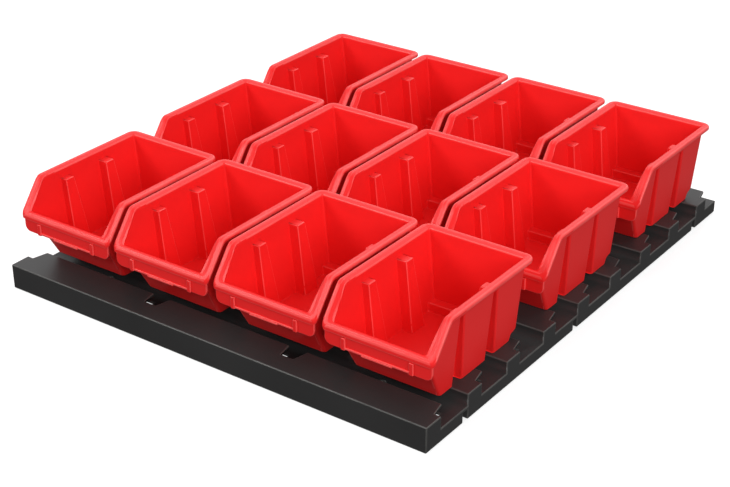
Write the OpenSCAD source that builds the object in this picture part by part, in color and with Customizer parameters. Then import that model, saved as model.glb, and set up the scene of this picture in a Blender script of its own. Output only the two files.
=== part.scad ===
// Louvred storage panel with twelve open-fronted parts bins, in millimetres.
// The panel lies on its back, tongues upwards, and the bins stand on it in three rows of four.
// Origin: centre of the panel's underside. +X to the right, +Y to the back, +Z up.

/* [Bin] */
// Width over the rim
bin_w = 91.8; // [70:0.2:120]
// Length from the lip to the back of the rim
bin_l = 127.1; // [100:0.1:170]
// Height from the underside to the top of the rim
bin_h = 65.7; // [50:0.1:90]
// Height of the low front lip above the underside
lip_h = 39.9; // [34:0.1:50]
// Distance from the lip back to where the rim turns level
slope_l = 19.8; // [14:0.1:30]
// Thickness of the bin's walls and floor
bin_t = 1.9; // [1.4:0.1:2.4]
// How far the side walls lean out over the bin's height, each side
side_draft = 6.1; // [2:0.1:8]
// How far the front wall stands behind the lip's front edge at the lip's height
wall_set = 2.45; // [1.5:0.05:5]
// Distance from the lip back to the foot of the front wall
front_foot = 24; // [22:0.1:34]

/* [Rim] */
// Width of the rim's top face, including the wall
rim_w = 6.5; // [5:0.1:8]
// Depth of the rim's outer edge
rim_t = 3.2; // [2.4:0.1:4]
// Corner radius of the rim at the back
rim_r = 7.3; // [4:0.1:10]
// Corner radius of the rim at the lip
lip_r = 3; // [2:0.1:5]
// Depth of the hook that turns down behind the back wall
hook_drop = 9; // [6:0.5:14]
// Width of the hook
hook_w = 60; // [40:1:66]

/* [Side grooves] */
// Distance from the lip to the first groove's pilaster
groove_1 = 37.2; // [34:0.1:44]
// Distance from the back of the rim forward to the second groove's pilaster
groove_rear = 48.3; // [44:0.1:56]
// Length of a pilaster along the side at its top
groove_l_top = 8.6; // [7:0.1:11]
// Length of a pilaster along the side at the floor
groove_l_floor = 16.4; // [12:0.1:20]
// Depth of the first and the second pilaster into the bin at the top
groove_d_top = [6.2, 8.7];
// Depth of the first and the second pilaster into the bin at the floor
groove_d_floor = [6.8, 9.2];
// Distance from the rim's top down to the pilasters' tops
groove_drop = 7.8; // [5:0.1:12]

/* [Rear foot] */
// Depth of the recess along the rear of the underside
foot_in = 7.7; // [5:0.1:10]
// Height of the recess along the rear of the underside
foot_h = 6.9; // [4:0.1:10]

/* [Label plate] */
// Distance from the rim's side edge in to the label plate
plate_in = 2.3; // [1:0.1:8]
// How far the label plate is set back from the lip's front edge
plate_set = 1.2; // [0.6:0.1:2]
// Height of the label plate below the lip's front edge
plate_h = 13.9; // [10:0.1:20]
// Thickness of the label plate
plate_t = 1.8; // [1.4:0.1:2.4]
// Corner radius at the foot of the label plate
plate_r = 5; // [3:0.1:7]
// Distance between the two label ribs, centre to centre
label_w = 55.2; // [40:0.2:70]
// Width of a label rib
rib_w = 3.3; // [2:0.1:5]
// Height of the label ribs
rib_h = 9.2; // [6:0.1:12]
// How far the ribs and the ledge stand out from the plate
rib_out = 1.2; // [0.6:0.1:2]
// Height of the ledge that a label stands on
ledge_h = 1.4; // [1:0.1:3]
// Width of the middle part of the ledge, which sits lower
ledge_mid_w = 25; // [10:1:40]
// How much lower the middle part of the ledge sits
ledge_step = 0.8; // [0.4:0.1:1.2]

/* [Layout] */
// Gap between neighbouring rims, side by side
col_gap = 4.2; // [2:0.1:20]
// Gap between a rim and the lip of the bin behind it
row_gap = 14.9; // [8:0.1:40]
// Panel width beyond the four columns, each side
side_margin = 1; // [0:0.5:20]
// Panel in front of the first row's lips
front_margin = 12.3; // [5:0.1:30]
// Panel behind the last row's rims
rear_margin = 16.6; // [5:0.1:40]

/* [Panel] */
// Distance from one louvre to the next
louvre_pitch = 50.25; // [40:0.25:60]
// Height of the raised lands
land_h = 20; // [15:0.1:26]
// Height of the valleys between the lands
valley_h = 10.3; // [8:0.1:13]
// Depth of a land, front to back, without its tongues
land_l = 17.5; // [12:0.1:24]
// How far a tongue reaches back over the valley
tongue_l = 12.8; // [8:0.1:16]
// Thickness of the tongues
tongue_t = 2.4; // [1.8:0.1:3]
// Thickness of the panel's other walls
panel_t = 2; // [1.6:0.1:2.6]
// Gap between a tongue's front corner and its module's edge
tongue_gap_front = 5.3; // [3:0.1:8]
// Gap between a tongue's rear corner and its module's edge
tongue_gap_rear = 8.1; // [5:0.1:12]
// Distance from a module's edge to the window under the tongue
window_gap = 10.5; // [9:0.1:16]
// How far the window reaches back past the tongue
window_over = 1.7; // [1:0.1:4]

/* [Fixings] */
// Diameter of the four holes for wall screws
screw_d = 5; // [4:0.1:6]
// Diameter of the bosses round the wall screws
boss_d = 13; // [10:0.5:16]
// Width of the joining sockets in the side walls
socket_l = 6; // [4:0.1:8]
// Height of the joining sockets
socket_h = 7.8; // [5:0.1:8]

/* [Hidden] */
$fn = 48;

cols = 4;
rows = 3;
modules = 3;
over = 1;              // how far a cutting solid runs past the face it cuts

// Layout: the panel is as large as its bins need
col_pitch = bin_w + col_gap;
row_pitch = bin_l + row_gap;
panel_w = cols * col_pitch + 2 * side_margin;
panel_l = front_margin + rows * row_pitch - row_gap + rear_margin;
module_w = panel_w / modules;
lands = floor((panel_l - land_l - tongue_l - window_over - panel_t) / louvre_pitch) + 1;
window_end = land_l + tongue_l + window_over;

// Screws stand in the first valley and in the last valley that has a land behind it
screw_y = [window_end + (louvre_pitch - window_end) / 2,
           (lands - 2) * louvre_pitch + window_end + (louvre_pitch - window_end) / 2];
screw_x = [module_w / 2, panel_w - module_w / 2];
socket_cells = [0, floor((lands - 2) / 2), lands - 2];

// Bin: half widths and the lines of its walls, in the bin's own frame.
// Its origin is on the underside's plane, under the middle of the lip's front edge.
rim_x = bin_w / 2;
wall_x_top = rim_x - rim_w + bin_t;        // outside of the side wall at the rim's top
wall_x_foot = wall_x_top - side_draft;     // outside of the side wall at the underside
back_y = bin_l - rim_w + bin_t;            // outside of the back wall
lip_slope = (bin_h - lip_h) / slope_l;     // rise of the sloping rim per unit of depth
front_run = (front_foot - wall_set) / lip_h;   // lean of the front wall per unit of height
groove_y = [groove_1, bin_l - groove_rear];    // front of each pilaster

// ---------------------------------------------------------------- bin

// Solid across the whole width whose side view is the given outline of [y, z] points
module side_profile(points, half_w)
    translate([-half_w, 0, 0])
        rotate([90, 0, 90])
            linear_extrude(height = 2 * half_w) polygon(points);

// Solid along the whole length whose front view is a drafted block:
// half width at height 0, half width at bin_h, from z0 to z1
module drafted_block(x_foot, x_top, z0, z1) {
    function half_at(z) = x_foot + (x_top - x_foot) * z / bin_h;
    translate([0, bin_l + over, 0])
        rotate([90, 0, 0])
            linear_extrude(height = bin_l + 2 * over + plate_t)
                polygon([[-half_at(z0), z0], [half_at(z0), z0],
                         [half_at(z1), z1], [-half_at(z1), z1]]);
}

// Height of the rim's top face at a depth y
function rim_z(y) = y >= slope_l ? bin_h : lip_h + lip_slope * y;

// Side view of the bin's outer shell, up to the rim's top face
function shell_side() = [
    [front_foot, 0], [back_y - foot_in, 0], [back_y - foot_in, foot_h], [back_y, foot_h],
    [back_y, bin_h], [slope_l, bin_h],
    [front_y(0, lip_top_z), lip_top_z],
];
// Depth of the front wall's outer face, moved back by d, at height z
function front_y(d, z) = front_foot + d - front_run * z;
// Height at which the front wall's outer face meets the sloping top
lip_top_z = (lip_h + lip_slope * front_foot) / (1 + lip_slope * front_run);

// Side view of the space inside, open above the rim
function inside_side() =
    let (t = bin_t, y_back = back_y - bin_t, z_top = bin_h + over,
         d = bin_t * sqrt(1 + front_run * front_run))
    [
        [front_y(d, t), t], [y_back - foot_in, t], [y_back - foot_in, foot_h + t],
        [y_back, foot_h + t], [y_back, z_top], [front_y(d, z_top), z_top],
    ];

// One side groove, or with grow = bin_t the pilaster round it. i is 0 or 1, side is 1 or -1.
module groove(i, side, grow) {
    y0 = groove_y[i] + bin_t - grow;
    z_top = bin_h - groove_drop - bin_t + grow;
    l_top = groove_l_top - 2 * bin_t + 2 * grow;
    l_floor = groove_l_floor - 2 * bin_t + 2 * grow;
    x_top = rim_x - rim_w - side_draft * groove_drop / bin_h - groove_d_top[i] + bin_t - grow;
    x_floor = wall_x_foot - bin_t - groove_d_floor[i] + bin_t - grow;
    intersection() {
        side_profile([[y0, -over], [y0 + l_floor, -over], [y0 + l_floor, 0],
                      [y0 + l_top, z_top], [y0, z_top]], bin_w);
        translate([0, bin_l, 0])
            rotate([90, 0, 0])
                linear_extrude(height = bin_l)
                    polygon([[side * x_floor, -over], [side * x_floor, 0], [side * x_top, z_top],
                             [side * bin_w, z_top], [side * bin_w, -over]]);
    }
}

module grooves(grow)
    for (i = [0, 1], side = [-1, 1])
        groove(i, side, grow);

// Plan of the rim: square to the lip's small corners in front, larger corners at the back
module rim_plan() {
    module corner(x, y, r) translate([x, y]) circle(r = r);
    difference() {
        translate([-rim_x, 0]) square([bin_w, bin_l]);
        for (side = [-1, 1]) {
            difference() {
                translate([side * rim_x - rim_r, bin_l - rim_r]) square(2 * rim_r);
                corner(side * (rim_x - rim_r), bin_l - rim_r, rim_r);
                translate([-rim_x + rim_r, 0]) square([bin_w - 2 * rim_r, 2 * bin_l]);
            }
            difference() {
                translate([side * rim_x - lip_r, -lip_r]) square(2 * lip_r);
                corner(side * (rim_x - lip_r), lip_r, lip_r);
                translate([-rim_x + lip_r, -bin_l]) square([bin_w - 2 * lip_r, 2 * bin_l]);
            }
        }
    }
}

// Flat flange that runs round the top, down the slopes and across the lip
module rim()
    intersection() {
        linear_extrude(height = bin_h + over) rim_plan();
        side_profile([[0, lip_h - rim_t], [slope_l + rim_t / 2, bin_h - rim_t],
                      [bin_l, bin_h - rim_t], [bin_l, bin_h], [slope_l, bin_h], [0, lip_h]], bin_w);
    }

// Hook that turns down from the rear flange, so that the bin can hang from a tongue
module rear_hook()
    translate([-hook_w / 2, bin_l - bin_t, bin_h - hook_drop])
        cube([hook_w, bin_t, hook_drop - rim_t / 2]);

// Label plate that hangs from the lip, with its two ribs and the ledge between them
module label_plate() {
    z0 = lip_h - plate_h;
    half = bin_w / 2 - plate_in;
    module plate_outline() {
        translate([-half, z0 + plate_r]) square([2 * half, plate_h - plate_r]);
        translate([-half + plate_r, z0]) square([2 * (half - plate_r), plate_h]);
        for (side = [-1, 1])
            translate([side * (half - plate_r), z0 + plate_r]) circle(r = plate_r);
    }
    translate([0, plate_set + plate_t, 0])
        rotate([90, 0, 0])
            linear_extrude(height = plate_t) plate_outline();
    for (side = [-1, 1])
        translate([side * label_w / 2 - rib_w / 2, plate_set - rib_out, z0])
            cube([rib_w, rib_out + plate_t / 2, rib_h]);
    translate([-label_w / 2, plate_set - rib_out, z0 + ledge_step])
        cube([label_w, rib_out + plate_t / 2, ledge_h]);
    translate([-ledge_mid_w / 2, plate_set - rib_out, z0])
        cube([ledge_mid_w, rib_out + plate_t / 2, ledge_h]);
}

module bin() {
    difference() {
        union() {
            intersection() {
                side_profile(shell_side(), bin_w);
                drafted_block(wall_x_foot, wall_x_top, -over, bin_h + over);
            }
            rim();
        }
        difference() {
            intersection() {
                side_profile(inside_side(), bin_w);
                drafted_block(wall_x_foot - bin_t, wall_x_top - bin_t, 0, bin_h + 2 * over);
            }
            grooves(bin_t);
        }
        grooves(0);
    }
    rear_hook();
    label_plate();
}

// The bin in row r from the front and column c from the left, standing on the lands
module placed_bin(r, c)
    translate([(c - (cols - 1) / 2) * col_pitch,
               -panel_l / 2 + front_margin + r * row_pitch,
               land_h])
        color("red") bin();

module front_bin_1() placed_bin(0, 0);
module front_bin_2() placed_bin(0, 1);
module front_bin_3() placed_bin(0, 2);
module front_bin_4() placed_bin(0, 3);
module middle_bin_1() placed_bin(1, 0);
module middle_bin_2() placed_bin(1, 1);
module middle_bin_3() placed_bin(1, 2);
module middle_bin_4() placed_bin(1, 3);
module rear_bin_1() placed_bin(2, 0);
module rear_bin_2() placed_bin(2, 1);
module rear_bin_3() placed_bin(2, 2);
module rear_bin_4() placed_bin(2, 3);

// ---------------------------------------------------------------- panel

// Bays between the lengthwise ribs: [x0, x1] of each clear space inside the panel
function bays() = concat(
    [[panel_t, window_gap - panel_t]],
    [for (m = [0:modules - 1]) [m * module_w + window_gap, (m + 1) * module_w - window_gap]],
    [for (m = [1:modules - 1]) [m * module_w - window_gap + panel_t, m * module_w + window_gap - panel_t]],
    [[panel_w - window_gap + panel_t, panel_w - panel_t]]
);

// Solid block with the lands standing on it
module panel_block() {
    cube([panel_w, panel_l, valley_h]);
    for (i = [0:lands - 1])
        translate([0, i * louvre_pitch, 0]) cube([panel_w, land_l, land_h]);
}

// Hollows under the lands and the valleys, open below
module panel_hollows()
    for (i = [0:lands - 1], bay = bays()) {
        y = i * louvre_pitch;
        y_next = i < lands - 1 ? y + louvre_pitch : panel_l - panel_t;
        translate([bay[0], y + panel_t, -over])
            cube([bay[1] - bay[0], land_l - 2 * panel_t, land_h - panel_t + over]);
        translate([bay[0], y + land_l, -over])
            cube([bay[1] - bay[0], y_next - y - land_l, valley_h - panel_t + over]);
    }

// Windows that a hook reaches into, under each tongue
module windows()
    for (i = [0:lands - 1], m = [0:modules - 1])
        translate([m * module_w + window_gap, i * louvre_pitch + land_l, -over])
            cube([module_w - 2 * window_gap, window_end - land_l, valley_h + 2 * over]);

// One tongue, with its sides drawn in towards the back
module tongue()
    translate([0, land_l - panel_t / 2, land_h - tongue_t])
        linear_extrude(height = tongue_t)
            polygon([[tongue_gap_front, 0], [module_w - tongue_gap_front, 0],
                     [module_w - tongue_gap_front, panel_t / 2],
                     [module_w - tongue_gap_rear, tongue_l + panel_t / 2],
                     [tongue_gap_rear, tongue_l + panel_t / 2],
                     [tongue_gap_front, panel_t / 2]]);

// Sockets in the side walls where the next panel joins
module sockets()
    for (i = socket_cells, x = [-over, panel_w - panel_t - over])
        translate([x, (i + 1) * louvre_pitch - socket_l, -over])
            cube([panel_t + 2 * over, socket_l, socket_h + over]);

module louvre_panel()
    color([0.09, 0.09, 0.1])
        translate([-panel_w / 2, -panel_l / 2, 0])
            difference() {
                union() {
                    difference() {
                        panel_block();
                        panel_hollows();
                        windows();
                        sockets();
                    }
                    for (i = [0:lands - 1], m = [0:modules - 1])
                        translate([m * module_w, i * louvre_pitch, 0]) tongue();
                    for (x = screw_x, y = screw_y)
                        translate([x, y, 0]) cylinder(d = boss_d, h = valley_h);
                }
                for (x = screw_x, y = screw_y)
                    translate([x, y, -over]) cylinder(d = screw_d, h = valley_h + 2 * over);
            }

louvre_panel();
front_bin_1();
front_bin_2();
front_bin_3();
front_bin_4();
middle_bin_1();
middle_bin_2();
middle_bin_3();
middle_bin_4();
rear_bin_1();
rear_bin_2();
rear_bin_3();
rear_bin_4();
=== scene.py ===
"""Looks of a louvred panel with twelve parts bins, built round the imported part."""
import math

import bmesh
import bpy
from mathutils import Matrix, Vector


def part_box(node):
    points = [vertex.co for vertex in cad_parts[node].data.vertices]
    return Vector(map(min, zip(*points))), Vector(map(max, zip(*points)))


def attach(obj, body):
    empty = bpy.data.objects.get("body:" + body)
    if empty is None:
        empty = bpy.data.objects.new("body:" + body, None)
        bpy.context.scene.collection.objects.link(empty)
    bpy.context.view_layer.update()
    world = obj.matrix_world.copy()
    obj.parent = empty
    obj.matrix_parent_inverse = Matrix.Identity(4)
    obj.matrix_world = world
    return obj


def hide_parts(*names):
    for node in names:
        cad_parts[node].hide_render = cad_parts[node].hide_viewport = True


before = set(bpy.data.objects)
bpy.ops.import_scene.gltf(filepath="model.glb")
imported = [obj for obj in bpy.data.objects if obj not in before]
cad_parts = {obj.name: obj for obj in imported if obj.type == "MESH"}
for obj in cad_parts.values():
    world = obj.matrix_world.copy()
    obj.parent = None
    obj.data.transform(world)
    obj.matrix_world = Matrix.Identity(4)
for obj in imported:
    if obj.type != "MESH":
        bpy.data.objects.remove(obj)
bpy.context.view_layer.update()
MM = 0.001

# ------------------------------------------------------------------ bin sizes, mm
# A bin's own frame: x from its middle plane, y back from the label plate, z up from its underside.
RIM_X, BIN_L, BIN_H, LIP_H = 45.9, 127.1, 65.7, 39.9
BEND_Y, BEND_R = 19.8, 3.2
SLOPE = (BIN_H - LIP_H) / BEND_Y
T = 1.9
WALL_X_TOP, WALL_X_FOOT = 41.3, 35.2
FOOT_Y, LEAN = 24.0, 21.55 / 39.9
BACK_Y = 122.5
FLANGE = 3.2
RIM_R, LIP_R = 7.3, 3.0
PASSES, MID_Y = 12, 60         # how often a wall's outline is refined, and the depth it starts from
# Pilasters inside the bin: front face, rear face at the top and at the floor,
# and distance from the middle plane at the top and at the floor
GROOVES = (
    dict(y0=37.2, y1=45.6, y1_low=53.4, x=32.5, x_low=26.6),
    dict(y0=78.8, y1=87.4, y1_low=94.8, x=30.2, x_low=24.2),
)
LEDGE_Z = 57.9
RIDGE_Z = 8.8


def smooth_min(a, b, r):
    """The lower of two heights, with the corner between them rounded."""
    h = max(r - abs(a - b), 0.0) / r
    return min(a, b) - h * h * r / 4


def rim_z(y):
    """Height of the rim's top at a depth."""
    slope = LIP_H + SLOPE * y
    return smooth_min(BIN_H, slope, BEND_R) if y > 0 else slope


def steep(y):
    """How much deeper the flange is than on the level: 1 there, 1.1 on the slope."""
    k = min(max((BEND_Y + 2 - y) / 4, 0), 1)
    return 1 + k * 0.1


def corner(a, b, c, r, n):
    """Points of a rounded corner at b, always n + 1 of them."""
    u, v = a - b, c - b
    lu, lv = u.length, v.length
    if lu < 1e-5 or lv < 1e-5:
        return [b.copy() for _ in range(n + 1)]
    u, v = u / lu, v / lv
    phi = math.acos(max(-1, min(1, u.dot(v))))
    if phi > math.pi - 1e-3 or r <= 0:
        return [b.copy() for _ in range(n + 1)]
    t = min(r / math.tan(phi / 2), 0.48 * lu, 0.48 * lv)
    r = t * math.tan(phi / 2)
    bis = (u + v).normalized()
    centre = b + bis * (r / math.sin(phi / 2))
    p, q = b + u * t - centre, b + v * t - centre
    turn = math.atan2(p.x * q.y - p.y * q.x, p.dot(q))
    out = []
    for i in range(n + 1):
        a_i = turn * i / n
        out.append(centre + Vector((p.x * math.cos(a_i) - p.y * math.sin(a_i),
                                    p.x * math.sin(a_i) + p.y * math.cos(a_i))))
    return out


def half_outline(half, back, front, r_back, r_front, notches, r_out, r_out_rear, r_in):
    """Right half of an outline, from the back's middle to the front's middle.
    The number of points is always the same."""
    v = [Vector((0, back)), Vector((half, back))]
    rad = [0, r_back]
    num = [0, 6]
    for depth, y0, y1 in reversed(notches):
        v += [Vector((half, y1)), Vector((half - depth, y1)), Vector((half - depth, y0)), Vector((half, y0))]
        rad += [r_out_rear, r_in, r_in, r_out]
        num += [5, 3, 3, 3]
    v += [Vector((half, front)), Vector((0, front))]
    rad += [r_front, 0]
    num += [6, 0]
    fill = [3, 2, 1, 1, 1, 2, 1, 1, 1, 14, 3]      # steps along each straight stretch
    pts = [v[0]]
    for i in range(1, len(v)):
        arc = corner(v[i - 1], v[i], v[i + 1], rad[i], num[i]) if i < len(v) - 1 else [v[i]]
        a, b = pts[-1], arc[0]
        for k in range(1, fill[i - 1]):
            pts.append(a.lerp(b, k / fill[i - 1]))
        pts += arc
    return pts


def full_ring(right):
    """Closed ring from a right half: the left half mirrored."""
    left = [Vector((-p.x, p.y)) for p in right[-2:0:-1]]
    return right + left


def wall_half(z):
    """Half width over the outside of the side walls at a height."""
    return WALL_X_FOOT + (WALL_X_TOP - WALL_X_FOOT) * z / BIN_H


def wall_ring(z_of, inner, inset, back, floor_inset=0.0):
    """Ring on a wall surface. z_of(y) gives its height at a depth, and the outline depends
    on the height, so the two are found by repeating."""
    ring = outline_at(z_of(MID_Y), inner, inset, back, floor_inset)
    for _ in range(PASSES - 1):
        zs = [z_of(p.y) for p in ring]
        ring = [outline_at(z, inner, inset, back, floor_inset)[i] for i, z in enumerate(zs)]
    return [Vector((p.x, p.y, z_of(p.y))) for p in ring]


def outline_at(z, inner, inset, back, floor_inset):
    """Outline of the bin's outer or inner wall at height z. inset > 0 shrinks the pilasters
    or grooves, for their rounded top edges, and None leaves them out."""
    t = T if inner else 0.0
    half = wall_half(z) - t - floor_inset
    front = FOOT_Y - LEAN * z + (T * math.hypot(1, LEAN) if inner else 0) + floor_inset
    notches = []
    for g in GROOVES:
        k = min(max(z / LEDGE_Z, 0), 1)
        y0, y1 = g["y0"], g["y1_low"] + (g["y1"] - g["y1_low"]) * k
        face = g["x_low"] + (g["x"] - g["x_low"]) * k
        if not inner:
            y0, y1, face = y0 + T, y1 - T, face + T
        if inset is None:
            notches.append((0.0, y0, y1))
        else:
            shift = floor_inset if inner else -floor_inset
            notches.append((half - face - inset, y0 + inset - shift, y1 - inset + shift))
    if inner:
        radii = (1.6, 1.6, notches, 0.5, 0.7, 0.55)
    else:
        radii = (3.4, 2.6, notches, 0.9, 1.5, 0.8)
    return full_ring(half_outline(half, back - floor_inset, front, *radii))


def rim_ring(off, n):
    """Ring on the flange: off in from its outer edge, n below its top."""
    notches = [(0.0, g["y0"], g["y1"]) for g in GROOVES]
    pts = full_ring(half_outline(RIM_X - off, BIN_L - off, off * 0.47, RIM_R - off, LIP_R, notches, 0, 0, 0))
    return [Vector((p.x, p.y, rim_z(p.y) - n * steep(p.y))) for p in pts]


def loft(bm, rings):
    """Skin over the rings, closed at both ends."""
    rows = [[bm.verts.new(p * MM) for p in ring] for ring in rings]
    n = len(rings[0])
    for a, b in zip(rows, rows[1:]):
        for i in range(n):
            j = (i + 1) % n
            bm.faces.new((a[i], a[j], b[j], b[i]))
    bm.faces.new(rows[0])
    bm.faces.new(list(reversed(rows[-1])))


def z_front_cap(level, top_n):
    """Height function: level where the wall is tall, drawn down in proportion under the sloping rim."""
    top = BIN_H - top_n

    def f(y):
        cap = rim_z(y) - top_n * steep(y)
        if level <= 20:
            return level
        return 20 + (level - 20) * (cap - 20) / (top - 20)
    return f


def bin_rings():
    """All of a bin's rings: up the outside, over the flange and down the inside."""
    rings = []
    out_top = FLANGE
    # the back wall's outside, as (height, depth): stepped in at the foot
    back_out = [(0.0, 114.9), (1.0, 115.2), (4.6, 116.2), (5.8, 117.4),
                (6.8, 120.6), (7.2, 122.0), (8.2, BACK_Y)]

    def back_at(table, z):
        for (z0, y0), (z1, y1) in zip(table, table[1:]):
            if z <= z1:
                return y0 + (y1 - y0) * max(z - z0, 0) / (z1 - z0)
        return table[-1][1]
    # underside's edge, rounded
    r = 0.7
    for k in range(5):
        a = k / 4 * math.pi / 2
        z = r * (1 - math.cos(a))
        rings.append(wall_ring(z_front_cap(z, out_top), False, 0.0, back_at(back_out, z),
                               r * (1 - math.sin(a))))
    for z in (3.0, 4.6, 5.3, 5.8, 6.3, 6.8, 7.2, 8.2, 14, 20, 32, 44, 52):
        rings.append(wall_ring(z_front_cap(z, out_top), False, 0.0, back_at(back_out, z)))
    top = LEDGE_Z - T
    rings.append(wall_ring(z_front_cap(top - 0.6, out_top), False, 0.0, BACK_Y))
    rings.append(wall_ring(z_front_cap(top - 0.15, out_top), False, 0.25, BACK_Y))
    rings.append(wall_ring(z_front_cap(top, out_top), False, 0.7, BACK_Y))
    rings.append(wall_ring(z_front_cap(top, out_top), False, None, BACK_Y))
    rings.append(wall_ring(z_front_cap(60.0, out_top), False, None, BACK_Y))
    rings.append(wall_ring(z_front_cap(BIN_H - out_top - 0.6, out_top), False, None, BACK_Y))
    # flange: underside, outer edge, top
    rings.append(rim_ring(RIM_X - WALL_X_TOP - 0.5, FLANGE))
    rings.append(rim_ring(1.4, FLANGE))
    for off, n in ((0.5, FLANGE), (0.12, FLANGE - 0.2), (0.0, FLANGE - 0.6), (0.0, 1.5),
                   (0.12, 0.85), (0.45, 0.4), (0.95, 0.1), (1.5, 0.0), (3.3, 0.0),
                   (3.7, 0.1), (5.5, 0.75), (5.9, 0.85), (6.3, 1.2)):
        rings.append(rim_ring(off, n))
    # inside
    back_in = BACK_Y - T
    rings.append(wall_ring(z_front_cap(BIN_H - 1.9, 0.0), True, None, back_in))
    rings.append(wall_ring(z_front_cap(61.5, 0.0), True, None, back_in))
    rings.append(wall_ring(z_front_cap(LEDGE_Z + 0.4, 0.0), True, None, back_in))
    rings.append(wall_ring(z_front_cap(LEDGE_Z, 0.0), True, None, back_in))
    rings.append(wall_ring(z_front_cap(LEDGE_Z, 0.0), True, 0.6, back_in))
    rings.append(wall_ring(z_front_cap(LEDGE_Z - 0.12, 0.0), True, 0.25, back_in))
    rings.append(wall_ring(z_front_cap(LEDGE_Z - 0.5, 0.0), True, 0.0, back_in))
    for z in (50, 40, 30, 20, 14, RIDGE_Z + 0.8):
        rings.append(wall_ring(z_front_cap(z, 0.0), True, 0.0, back_in))
    rings.append(wall_ring(z_front_cap(RIDGE_Z + 0.2, 0.0), True, 0.0, back_in - 0.15))
    rings.append(wall_ring(z_front_cap(RIDGE_Z, 0.0), True, 0.0, back_in - 0.8))
    rings.append(wall_ring(z_front_cap(RIDGE_Z, 0.0), True, 0.0, 113.7))
    rings.append(wall_ring(z_front_cap(RIDGE_Z - 0.2, 0.0), True, 0.0, 113.2))
    rings.append(wall_ring(z_front_cap(RIDGE_Z - 0.7, 0.0), True, 0.0, 113.0))
    r = 0.7
    for k in range(5):
        a = k / 4 * math.pi / 2
        z = T + r * (1 - math.sin(a))
        rings.append(wall_ring(z_front_cap(z, 0.0), True, 0.0, 112.6, r * (1 - math.cos(a))))
    return rings


def block(bm, points, y0, y1, bevel, segments=3):
    """Prism on an x-z outline from y0 to y1, its edges rounded."""
    part = bmesh.new()
    a = [part.verts.new(Vector((x, y0, z)) * MM) for x, z in points]
    b = [part.verts.new(Vector((x, y1, z)) * MM) for x, z in points]
    part.faces.new(a)
    part.faces.new(list(reversed(b)))
    n = len(points)
    for i in range(n):
        j = (i + 1) % n
        part.faces.new((a[j], a[i], b[i], b[j]))
    bmesh.ops.recalc_face_normals(part, faces=part.faces)
    sharp = [e for e in part.edges if e.calc_face_angle(0) > 0.6]
    bmesh.ops.bevel(part, geom=sharp, offset=bevel * MM, segments=segments, affect="EDGES", profile=0.5)
    made = bpy.data.meshes.new("part")
    part.to_mesh(made)
    part.free()
    bm.from_mesh(made)
    bpy.data.meshes.remove(made)


PLATE_H, PLATE_X, PLATE_T, PLATE_R, PLATE_Y = 13.9, 43.6, 1.8, 5.0, 1.2
RIB_X, RIB_W, RIB_H, RIB_OUT, LEDGE_H, LEDGE_STEP, LEDGE_MID = 27.6, 3.3, 9.2, 1.2, 1.4, 0.8, 12.5


def label_plate(bm):
    """The plate that hangs from the lip, its two ribs and the ledge in two steps."""
    z0 = LIP_H - PLATE_H
    pts = [(-PLATE_X, LIP_H - 2.2), (PLATE_X, LIP_H - 2.2)]
    for side in (1, -1):
        arc = []
        for k in range(9):
            a = k / 8 * math.pi / 2
            arc.append((side * (PLATE_X - PLATE_R + PLATE_R * math.cos(a)),
                        z0 + PLATE_R - PLATE_R * math.sin(a)))
        pts += arc if side == 1 else list(reversed(arc))
    block(bm, pts, PLATE_Y, PLATE_Y + PLATE_T, 0.45)
    for side in (-1, 1):
        x = side * RIB_X
        block(bm, [(x - RIB_W / 2, z0), (x + RIB_W / 2, z0),
                   (x + RIB_W / 2, z0 + RIB_H), (x - RIB_W / 2, z0 + RIB_H)],
              PLATE_Y - RIB_OUT, PLATE_Y + PLATE_T / 2, 0.4)
    for x0, x1, up, out in ((-RIB_X, RIB_X, LEDGE_STEP, 0.35), (-LEDGE_MID, LEDGE_MID, 0.0, 0.0)):
        block(bm, [(x0, z0 + up), (x1, z0 + up),
                   (x1, z0 + up + LEDGE_H), (x0, z0 + up + LEDGE_H)],
              PLATE_Y - RIB_OUT + out, PLATE_Y + PLATE_T / 2, 0.3)


HOOK_X, HOOK_DROP = 30.0, 9.0


def rear_hook(bm):
    """The hook that turns down behind the back wall, just inside the flange's rear edge."""
    block(bm, [(-HOOK_X, BIN_H - HOOK_DROP), (HOOK_X, BIN_H - HOOK_DROP),
               (HOOK_X, BIN_H - 1.6), (-HOOK_X, BIN_H - 1.6)],
          BIN_L - 1.9, BIN_L - 0.02, 0.5)


def mark_painted_highlight_edges(bm, widest=1.3 * MM):
    """Give the second material, a lighter and pinker red that paints a highlight, to the narrow faces that
    round off the edges of the rim, the label plate and what stands inside the bin. The blocks outside keep
    the plain one."""
    for f in bm.faces:
        x, y, z = f.calc_center_median() / MM
        below_rim = z < rim_z(y) - 4
        if below_rim and y > 4 and (abs(x) > wall_half(z) - 2 or y > BACK_Y - T - 0.5 or z < 1.5):
            continue
        length = max(e.calc_length() for e in f.edges)
        width = f.calc_area() / length
        if width < widest and length > 2.5 * width:
            sides = [e for e in f.edges if e.calc_length() > 0.7 * length]
            if all(len(e.link_faces) == 2 and e.is_convex
                   and e.calc_face_angle(0) > math.radians(6) for e in sides):
                f.material_index = 1


def bin_mesh():
    bm = bmesh.new()
    loft(bm, bin_rings())
    bmesh.ops.remove_doubles(bm, verts=bm.verts, dist=2e-6)
    bmesh.ops.dissolve_degenerate(bm, edges=bm.edges, dist=1e-6)
    bmesh.ops.recalc_face_normals(bm, faces=bm.faces)
    label_plate(bm)
    rear_hook(bm)
    mark_painted_highlight_edges(bm)
    mesh = bpy.data.meshes.new("bin")
    bm.to_mesh(mesh)
    bm.free()
    return mesh


def finish_mesh(obj, angle=50):
    """Smooth shading with flat faces kept flat."""
    for p in obj.data.polygons:
        p.use_smooth = True
    wn = obj.modifiers.new("normals", "WEIGHTED_NORMAL")
    wn.weight = 60
    wn.keep_sharp = True
    obj.data.set_sharp_from_angle(angle=math.radians(angle))


# ------------------------------------------------------------------ materials

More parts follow.
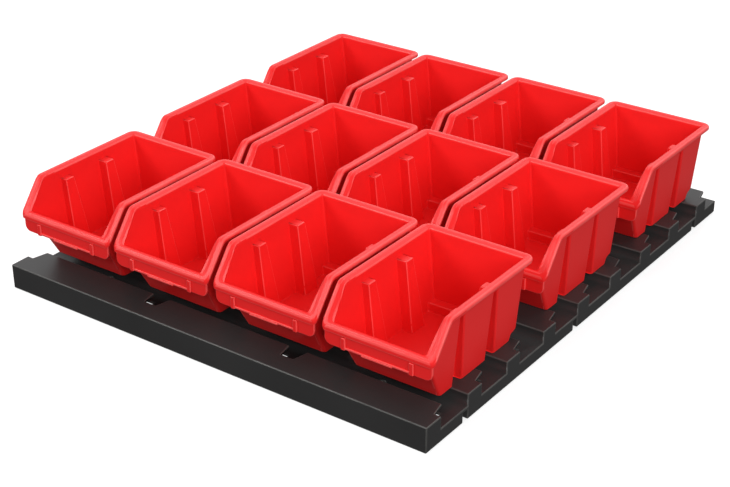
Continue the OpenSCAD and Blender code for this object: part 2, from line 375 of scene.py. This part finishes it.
ROUGH_SPREAD = 0.05


def node_tree(name):
    mat = bpy.data.materials.new(name)
    mat.use_nodes = True
    nt = mat.node_tree
    return mat, nt, nt.nodes["Principled BSDF"]


def plastic(name, low, high, rough, grain_scale, grain_height, mottle=14):
    """Moulded plastic: a faint mottle in the colour, uneven gloss and a fine moulded grain."""
    mat, nt, bsdf = node_tree(name)
    tex = nt.nodes.new("ShaderNodeTexCoord")
    flow = nt.nodes.new("ShaderNodeTexNoise")
    flow.inputs["Scale"].default_value = mottle
    flow.inputs["Detail"].default_value = 4
    nt.links.new(tex.outputs["Object"], flow.inputs["Vector"])
    ramp = nt.nodes.new("ShaderNodeValToRGB")
    ramp.color_ramp.elements[0].position, ramp.color_ramp.elements[1].position = 0.3, 0.7
    ramp.color_ramp.elements[0].color = (*low, 1)
    ramp.color_ramp.elements[1].color = (*high, 1)
    nt.links.new(flow.outputs["Fac"], ramp.inputs["Fac"])
    nt.links.new(ramp.outputs["Color"], bsdf.inputs["Base Color"])
    grain = nt.nodes.new("ShaderNodeTexNoise")
    grain.inputs["Scale"].default_value = grain_scale
    grain.inputs["Detail"].default_value = 3
    nt.links.new(tex.outputs["Object"], grain.inputs["Vector"])
    gloss = nt.nodes.new("ShaderNodeMapRange")
    gloss.inputs["To Min"].default_value = rough - ROUGH_SPREAD
    gloss.inputs["To Max"].default_value = rough + ROUGH_SPREAD
    nt.links.new(flow.outputs["Fac"], gloss.inputs["Value"])
    nt.links.new(gloss.outputs["Result"], bsdf.inputs["Roughness"])
    bump = nt.nodes.new("ShaderNodeBump")
    bump.inputs["Strength"].default_value = 0.35
    bump.inputs["Distance"].default_value = grain_height
    nt.links.new(grain.outputs["Fac"], bump.inputs["Height"])
    nt.links.new(bump.outputs["Normal"], bsdf.inputs["Normal"])
    bsdf.inputs["Specular IOR Level"].default_value = 0.3
    return mat


red = plastic("red_plastic", (0.81, 0.0150, 0.0153), (0.86, 0.0185, 0.0188),
              0.36, 2200, 0.00004)
# lighter, pinker red for the narrow faces on rounded edges: a painted highlight along those edges
red_highlight_paint = plastic("red_plastic_painted_highlight", (0.88, 0.060, 0.058), (0.93, 0.100, 0.096),
                   0.30, 2200, 0.00003, mottle=40)
black = plastic("black_plastic", (0.023, 0.0225, 0.0225), (0.030, 0.029, 0.029),
                0.42, 1600, 0.00006, mottle=9)
# lighter grey for the panel's rounded edges: a painted highlight along those edges
black_highlight_paint = plastic("black_plastic_painted_highlight", (0.050, 0.049, 0.047), (0.085, 0.083, 0.079),
                     0.30, 1600, 0.00003, mottle=60)

# ------------------------------------------------------------------ bins

shared = bin_mesh()
shared.materials.append(red)
shared.materials.append(red_highlight_paint)
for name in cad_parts:
    if name == "louvre_panel":
        continue
    lo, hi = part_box(name)
    o = bpy.data.objects.new("visual_" + name, shared)
    bpy.context.scene.collection.objects.link(o)
    o.location = ((lo[0] + hi[0]) / 2, hi[1] - BIN_L * MM, lo[2])
    finish_mesh(o)
    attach(o, name)
    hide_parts(name)

# ------------------------------------------------------------------ panel

cad_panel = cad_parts["louvre_panel"]
bm = bmesh.new()
bm.from_mesh(cad_panel.data)
bmesh.ops.remove_doubles(bm, verts=bm.verts, dist=1e-6)
bmesh.ops.dissolve_limit(bm, angle_limit=math.radians(1), verts=bm.verts, edges=bm.edges)
# only outside edges are rounded, and their rounding is painted a little lighter as a highlight along the
# edges
weight = bm.edges.layers.float.new("bevel_weight_edge")
for e in bm.edges:
    if len(e.link_faces) == 2 and e.is_convex and e.calc_face_angle(0) > math.radians(40):
        e[weight] = 1.0
mesh = bpy.data.meshes.new("panel")
bm.to_mesh(mesh)
bm.free()
panel = bpy.data.objects.new("visual_louvre_panel", mesh)
bpy.context.scene.collection.objects.link(panel)
mesh.materials.clear()
mesh.materials.append(black)
mesh.materials.append(black_highlight_paint)
bev = panel.modifiers.new("edges", "BEVEL")
bev.width = 0.8 * MM
bev.use_clamp_overlap = False
bev.segments = 3
bev.limit_method = "WEIGHT"
# the rounding gets the lighter black, which paints the edge highlight
bev.material = 1
finish_mesh(panel)
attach(panel, "panel")
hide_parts("louvre_panel")

# ------------------------------------------------------------------ floor, light, camera

world = bpy.data.worlds.new("world")
bpy.context.scene.world = world
world.use_nodes = True
# a studio dome: brightest high up behind the left, dark low down in front on the right
BRIGHT_SIDE = Vector((-0.35, 0.50, 0.80)).normalized()
wn = world.node_tree
sky = wn.nodes["Background"]
sky.inputs["Strength"].default_value = 1.0
where = wn.nodes.new("ShaderNodeTexCoord")
facing = wn.nodes.new("ShaderNodeVectorMath")
facing.operation = "DOT_PRODUCT"
facing.inputs[1].default_value = BRIGHT_SIDE
fade = wn.nodes.new("ShaderNodeValToRGB")
fade.color_ramp.elements[0].position, fade.color_ramp.elements[1].position = 0.0, 0.85
fade.color_ramp.elements[0].color = (0.17, 0.17, 0.17, 1)
fade.color_ramp.elements[1].color = (1.4, 1.4, 1.4, 1)
middle = fade.color_ramp.elements.new(0.45)
middle.color = (0.28, 0.28, 0.28, 1)
wn.links.new(where.outputs["Generated"], facing.inputs[0])
wn.links.new(facing.outputs["Value"], fade.inputs["Fac"])
wn.links.new(fade.outputs["Color"], sky.inputs["Color"])
bpy.context.scene.view_settings.view_transform = "Standard"

bpy.ops.mesh.primitive_plane_add(size=30, location=(0, 0, -0.0005))
floor = bpy.context.object
floor.name = "floor"
fmat, fnt, fb = node_tree("floor")
fb.inputs["Base Color"].default_value = (0.5, 0.5, 0.5, 1)
fb.inputs["Roughness"].default_value = 0.8
fb.inputs["Emission Color"].default_value = (1, 1, 1, 1)
fb.inputs["Emission Strength"].default_value = 0.62
floor.data.materials.append(fmat)
# it is seen, but neither lights nor shows in the bins: the dome and the lamps do that
floor.visible_glossy = False
floor.visible_diffuse = False


def area(name, place, target, size, power):
    data = bpy.data.lights.new(name, "AREA")
    data.shape = "RECTANGLE"
    data.size, data.size_y = size
    data.energy = power
    o = bpy.data.objects.new(name, data)
    bpy.context.scene.collection.objects.link(o)
    o.location = place
    o.rotation_euler = (Vector(target) - Vector(place)).to_track_quat("-Z", "Y").to_euler()


area("key", (1.8, -1.2, 1.2), (0, 0, 0), (1.8, 1.4), 44)
area("glint", (-1.15, -1.4, 1.2), (0, 0, 0), (0.8, 0.8), 18)

cam_data = bpy.data.cameras.new("camera")
cam_data.lens = 78.32
cam_data.sensor_width = 36
cam_data.shift_x, cam_data.shift_y = -0.0001, -0.0019
cam = bpy.data.objects.new("camera", cam_data)
bpy.context.scene.collection.objects.link(cam)
cam.location = (0.66245, -0.93725, 0.59903)
away = Vector((-0.52017, 0.71984, -0.45962))
turn = away.to_track_quat("-Z", "Y").to_matrix() @ Matrix.Rotation(math.radians(-0.109), 3, "Z")
cam.rotation_euler = turn.to_euler()
cam_data.clip_start, cam_data.clip_end = 0.01, 50
bpy.context.scene.camera = cam
